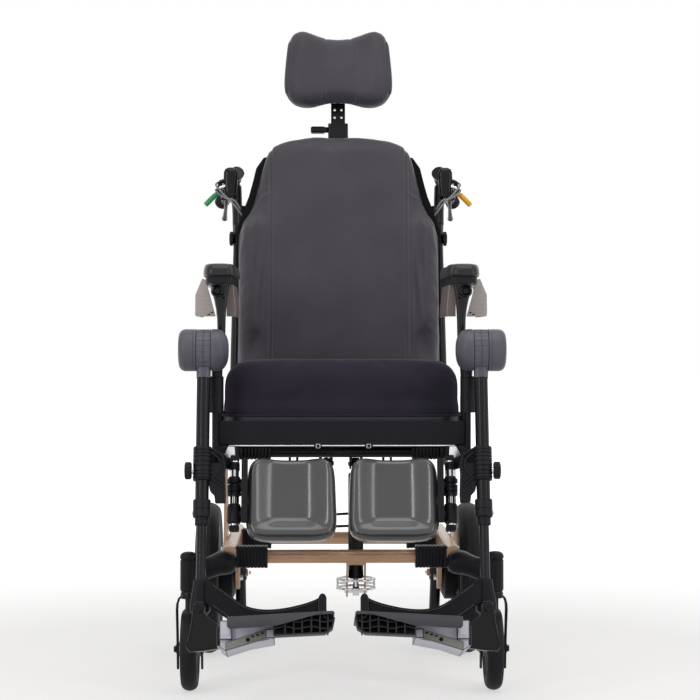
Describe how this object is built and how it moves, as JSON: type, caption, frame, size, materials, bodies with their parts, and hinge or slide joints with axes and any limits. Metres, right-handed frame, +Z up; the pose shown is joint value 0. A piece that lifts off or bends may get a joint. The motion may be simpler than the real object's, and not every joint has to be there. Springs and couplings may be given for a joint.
{
  "type": "tilt in space wheelchair",
  "caption": "Push wheelchair whose seat, back and legrests tilt as one on a low base, with a reclining back and headrest.",
  "frame": {"origin": "on the floor under the middle of the chair's overall box", "axes": "+Z up, -Y the way the user faces, +X to the right in the front view"},
  "size_m": [0.605, 1.0188, 1.2641],
  "materials": {
    "bronze_paint": "satin champagne lacquer on steel",
    "black_paint": "satin powder coat",
    "black_plastic": "moulded, lightly textured",
    "hub_plastic": "fine satin texture",
    "silver_plastic": "satin silver",
    "wheel_grey": "moulded grey",
    "tyre_rubber": "smooth grey-black rubber",
    "plate_aluminium": "rolled",
    "bright_steel": "zinc plated",
    "seat_fabric": "fine stretch fabric",
    "grey_leatherette": "soft coated fabric",
    "black_vinyl": "glossy moulded skin",
    "green_plastic": "moulded",
    "yellow_plastic": "moulded",
    "cable_black": "smooth sheath"
  },
  "bodies": {
    "chassis": {"side_frame_left": "bronze_paint", "side_frame_right": "bronze_paint", "cross_tubes": "bronze_paint", "cross_tube_clamps": "black_plastic", "caster_housing_left": "black_plastic", "caster_housing_right": "black_plastic", "drum_brakes": "plate_aluminium", "anti_tippers": "black_paint", "base_fasteners": "bright_steel", "spring_clevis": "bronze_paint"},
    "tilt_rod": {"tilt_spring_rod": "bright_steel"},
    "tilt_cylinder": {"tilt_spring_cylinder": "black_paint"},
    "seat": {"seat_frame": "black_paint", "seat_plate": "plate_aluminium", "seat_front_board": "black_plastic", "seat_cushion": "seat_fabric", "control_cables": "cable_black"},
    "recline_cylinder": {"recline_spring_cylinder": "black_paint"},
    "recline_rod": {"recline_spring_rod": "bright_steel"},
    "back": {"back_frame": "black_paint", "back_panel": "seat_fabric", "back_cushion": "grey_leatherette"},
    "headrest_post": {"headrest_post": "bright_steel"},
    "headrest_pad": {"headrest_pad": "grey_leatherette"},
    "rear_wheel_left": {"rear_tyre_left": "tyre_rubber", "rear_rim_left": "wheel_grey"},
    "caster_swivel_left": {"caster_fork_left": "black_paint"},
    "caster_wheel_left": {"caster_tyre_left": "tyre_rubber", "caster_rim_left": "wheel_grey"},
    "armrest_left": {"armrest_post_left": "black_paint", "arm_pad_left": "black_vinyl", "side_guard_left": "silver_plastic"},
    "legrest_hanger_left": {"knee_hub_left": "hub_plastic"},
    "legrest_left": {"legrest_tube_left": "black_paint", "calf_bracket_left": "black_plastic"},
    "calf_support_left": {"calf_pad_left": "black_vinyl"},
    "foot_slide_left": {"footplate_tube_left": "black_paint"},
    "foot_support_left": {"footplate_left": "black_plastic", "heel_strap_left": "seat_fabric"},
    "push_bar_left": {"push_handle_left": "black_paint"},
    "brake_lever_left": {"brake_lever_left": "black_plastic"},
    "rear_wheel_right": {"rear_tyre_right": "tyre_rubber", "rear_rim_right": "wheel_grey"},
    "caster_swivel_right": {"caster_fork_right": "black_paint"},
    "caster_wheel_right": {"caster_tyre_right": "tyre_rubber", "caster_rim_right": "wheel_grey"},
    "armrest_right": {"armrest_post_right": "black_paint", "arm_pad_right": "black_vinyl", "side_guard_right": "silver_plastic"},
    "legrest_hanger_right": {"knee_hub_right": "hub_plastic"},
    "legrest_right": {"legrest_tube_right": "black_paint", "calf_bracket_right": "black_plastic"},
    "calf_support_right": {"calf_pad_right": "black_vinyl"},
    "foot_slide_right": {"footplate_tube_right": "black_paint"},
    "foot_support_right": {"footplate_right": "black_plastic", "heel_strap_right": "seat_fabric"},
    "push_bar_right": {"push_handle_right": "black_paint"},
    "brake_lever_right": {"brake_lever_right": "black_plastic"},
    "tilt_lever": {"tilt_lever": "green_plastic"},
    "recline_lever": {"recline_lever": "yellow_plastic"}
  },
  "joints": [
    {"name": "seat_tilt", "type": "hinge", "parent": "chassis", "child": "seat", "pos_m": [0, 0.11413, 0.4], "axis": [-1, 0, 0], "range_deg": [0, 25]},
    {"name": "tilt_rod_hinge", "type": "hinge", "parent": "chassis", "child": "tilt_rod", "pos_m": [0.027, -0.06588, 0.172], "axis": [-1, 0, 0], "range_deg": [0, 2.19]},
    {"name": "tilt_spring_slide", "type": "slide", "parent": "tilt_rod", "child": "tilt_cylinder", "axis": [0, 0.0855, 0.9963], "range_m": [0, 0.06908]},
    {"name": "back_recline", "type": "hinge", "parent": "seat", "child": "back", "pos_m": [0, 0.29413, 0.43], "axis": [-1, 0, 0], "range_deg": [0, 30]},
    {"name": "recline_cylinder_hinge", "type": "hinge", "parent": "seat", "child": "recline_cylinder", "pos_m": [-0.027, -0.02587, 0.405], "axis": [-1, 0, 0], "range_deg": [-2.5, 0]},
    {"name": "recline_spring_slide", "type": "slide", "parent": "recline_cylinder", "child": "recline_rod", "axis": [0, 0.9979, -0.0654], "range_m": [-0.02157, 0]},
    {"name": "headrest_height", "type": "slide", "parent": "back", "child": "headrest_post", "axis": [0, 0.1564, 0.9877], "range_m": [-0.015, 0.08]},
    {"name": "headrest_angle", "type": "hinge", "parent": "headrest_post", "child": "headrest_pad", "pos_m": [0, 0.39991, 1.17462], "axis": [-1, 0, 0], "range_deg": [-12, 20]},
    {"name": "rear_wheel_spin_left", "type": "hinge", "parent": "chassis", "child": "rear_wheel_left", "pos_m": [-0.262, 0.32913, 0.152], "axis": [-1, 0, 0], "continuous": true},
    {"name": "caster_swivel_left", "type": "hinge", "parent": "chassis", "child": "caster_swivel_left", "pos_m": [-0.275, -0.17588, 0.2], "axis": [0, 0, 1], "continuous": true},
    {"name": "caster_spin_left", "type": "hinge", "parent": "caster_swivel_left", "child": "caster_wheel_left", "pos_m": [-0.275, -0.13087, 0.075], "axis": [-1, 0, 0], "continuous": true},
    {"name": "armrest_height_left", "type": "slide", "parent": "seat", "child": "armrest_left", "axis": [0, 0, 1], "range_m": [0, 0.08]},
    {"name": "legrest_swing_left", "type": "hinge", "parent": "seat", "child": "legrest_hanger_left", "pos_m": [-0.226, -0.17588, 0.54], "axis": [0, 0, -1], "range_deg": [0, 55]},
    {"name": "legrest_elevate_left", "type": "hinge", "parent": "legrest_hanger_left", "child": "legrest_left", "pos_m": [-0.246, -0.20588, 0.617], "axis": [-1, 0, 0], "range_deg": [0, 60]},
    {"name": "calf_pad_swing_left", "type": "hinge", "parent": "legrest_left", "child": "calf_support_left", "pos_m": [-0.191, -0.23387, 0.36568], "axis": [0, 0.2588, 0.9659], "range_deg": [-50, 0]},
    {"name": "foot_length_left", "type": "slide", "parent": "legrest_left", "child": "foot_slide_left", "axis": [0, 0.2588, 0.9659], "range_m": [0, 0.08]},
    {"name": "footplate_flip_left", "type": "hinge", "parent": "foot_slide_left", "child": "foot_support_left", "pos_m": [-0.248, -0.34937, 0.17612], "axis": [0, -0.9659, 0.2588], "range_deg": [0, 85]},
    {"name": "push_handle_height_left", "type": "slide", "parent": "back", "child": "push_bar_left", "axis": [0, 0.1564, 0.9877], "range_m": [0, 0.08]},
    {"name": "brake_squeeze_left", "type": "hinge", "parent": "push_bar_left", "child": "brake_lever_left", "pos_m": [-0.229, 0.38301, 0.92073], "axis": [1, 0, 0], "range_deg": [0, 12], "stiffness_Nm_per_rad": 1.5, "springref_deg": -8.59},
    {"name": "rear_wheel_spin_right", "type": "hinge", "parent": "chassis", "child": "rear_wheel_right", "pos_m": [0.262, 0.32913, 0.152], "axis": [-1, 0, 0], "continuous": true},
    {"name": "caster_swivel_right", "type": "hinge", "parent": "chassis", "child": "caster_swivel_right", "pos_m": [0.275, -0.17588, 0.2], "axis": [0, 0, 1], "continuous": true},
    {"name": "caster_spin_right", "type": "hinge", "parent": "caster_swivel_right", "child": "caster_wheel_right", "pos_m": [0.275, -0.13087, 0.075], "axis": [-1, 0, 0], "continuous": true},
    {"name": "armrest_height_right", "type": "slide", "parent": "seat", "child": "armrest_right", "axis": [0, 0, 1], "range_m": [0, 0.08]},
    {"name": "legrest_swing_right", "type": "hinge", "parent": "seat", "child": "legrest_hanger_right", "pos_m": [0.226, -0.17588, 0.54], "axis": [0, 0, 1], "range_deg": [0, 55]},
    {"name": "legrest_elevate_right", "type": "hinge", "parent": "legrest_hanger_right", "child": "legrest_right", "pos_m": [0.246, -0.20588, 0.617], "axis": [-1, 0, 0], "range_deg": [0, 60]},
    {"name": "calf_pad_swing_right", "type": "hinge", "parent": "legrest_right", "child": "calf_support_right", "pos_m": [0.191, -0.23387, 0.36568], "axis": [0, -0.2588, -0.9659], "range_deg": [-50, 0]},
    {"name": "foot_length_right", "type": "slide", "parent": "legrest_right", "child": "foot_slide_right", "axis": [0, 0.2588, 0.9659], "range_m": [0, 0.08]},
    {"name": "footplate_flip_right", "type": "hinge", "parent": "foot_slide_right", "child": "foot_support_right", "pos_m": [0.248, -0.34937, 0.17612], "axis": [0, 0.9659, -0.2588], "range_deg": [0, 85]},
    {"name": "push_handle_height_right", "type": "slide", "parent": "back", "child": "push_bar_right", "axis": [0, 0.1564, 0.9877], "range_m": [0, 0.08]},
    {"name": "brake_squeeze_right", "type": "hinge", "parent": "push_bar_right", "child": "brake_lever_right", "pos_m": [0.229, 0.38301, 0.92073], "axis": [1, 0, 0], "range_deg": [0, 12], "stiffness_Nm_per_rad": 1.5, "springref_deg": -8.59},
    {"name": "tilt_lever_squeeze", "type": "hinge", "parent": "push_bar_left", "child": "tilt_lever", "pos_m": [-0.247, 0.38754, 0.94937], "axis": [0, 0.9877, -0.1564], "range_deg": [0, 14], "stiffness_Nm_per_rad": 0.4, "springref_deg": -11.46},
    {"name": "recline_lever_squeeze", "type": "hinge", "parent": "push_bar_right", "child": "recline_lever", "pos_m": [0.247, 0.38754, 0.94937], "axis": [0, -0.9877, 0.1564], "range_deg": [0, 14], "stiffness_Nm_per_rad": 0.4, "springref_deg": -11.46}
  ],
  "couplings": [
    {"joint": "tilt_rod_hinge", "follows": "seat_tilt", "ratio": 0.085638},
    {"joint": "tilt_spring_slide", "follows": "seat_tilt", "m_per_rad": 0.15717},
    {"joint": "recline_cylinder_hinge", "follows": "back_recline", "ratio": -0.081626},
    {"joint": "recline_spring_slide", "follows": "back_recline", "m_per_rad": -0.040244}
  ]
}
